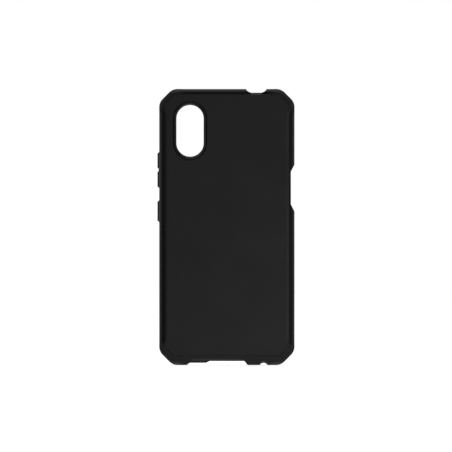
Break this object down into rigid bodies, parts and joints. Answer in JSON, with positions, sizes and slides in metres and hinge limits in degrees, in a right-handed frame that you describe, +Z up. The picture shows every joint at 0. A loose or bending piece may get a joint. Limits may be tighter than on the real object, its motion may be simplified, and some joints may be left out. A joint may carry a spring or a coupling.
{
  "type": "phone case",
  "caption": "Rugged phone case with a smooth back shell, chamfered shock-absorbing corners, an oval camera window, side keys and cut-outs for the port, headset plug and side key.",
  "frame": {"origin": "middle of the case's bottom edge, on the surface it stands on, midway between front lip and back", "axes": "+Z up the case's length, +Y out of its back, -Y out of its open screen side, +X towards the edge with the keys"},
  "size_m": [0.076, 0.013, 0.153],
  "materials": {
    "back_shell": "moulded polycarbonate with a fine matt texture",
    "frame": "moulded flexible polyurethane, satin",
    "corner_bumper": "moulded soft polyurethane, matt",
    "bezel": "moulded polycarbonate, satin",
    "keys": "moulded polycarbonate, satin"
  },
  "bodies": {
    "case": {"back_shell": "back_shell", "bumper_frame": "frame", "camera_bezel": "bezel", "corner_bumper_top_camera_side": "corner_bumper", "corner_bumper_top_jack_side": "corner_bumper", "corner_bumper_bottom_port_side": "corner_bumper", "corner_bumper_bottom_mic_side": "corner_bumper"},
    "volume_up": {"volume_up_key": "keys"},
    "volume_down": {"volume_down_key": "keys"},
    "power": {"power_key": "keys"}
  },
  "joints": [
    {"name": "volume_up_press", "type": "slide", "parent": "case", "child": "volume_up", "axis": [-1, 0, 0], "range_m": [0, 0.0003], "stiffness_N_per_m": 2000},
    {"name": "volume_down_press", "type": "slide", "parent": "case", "child": "volume_down", "axis": [-1, 0, 0], "range_m": [0, 0.0003], "stiffness_N_per_m": 2000},
    {"name": "power_press", "type": "slide", "parent": "case", "child": "power", "axis": [-1, 0, 0], "range_m": [0, 0.0003], "stiffness_N_per_m": 2000}
  ]
}
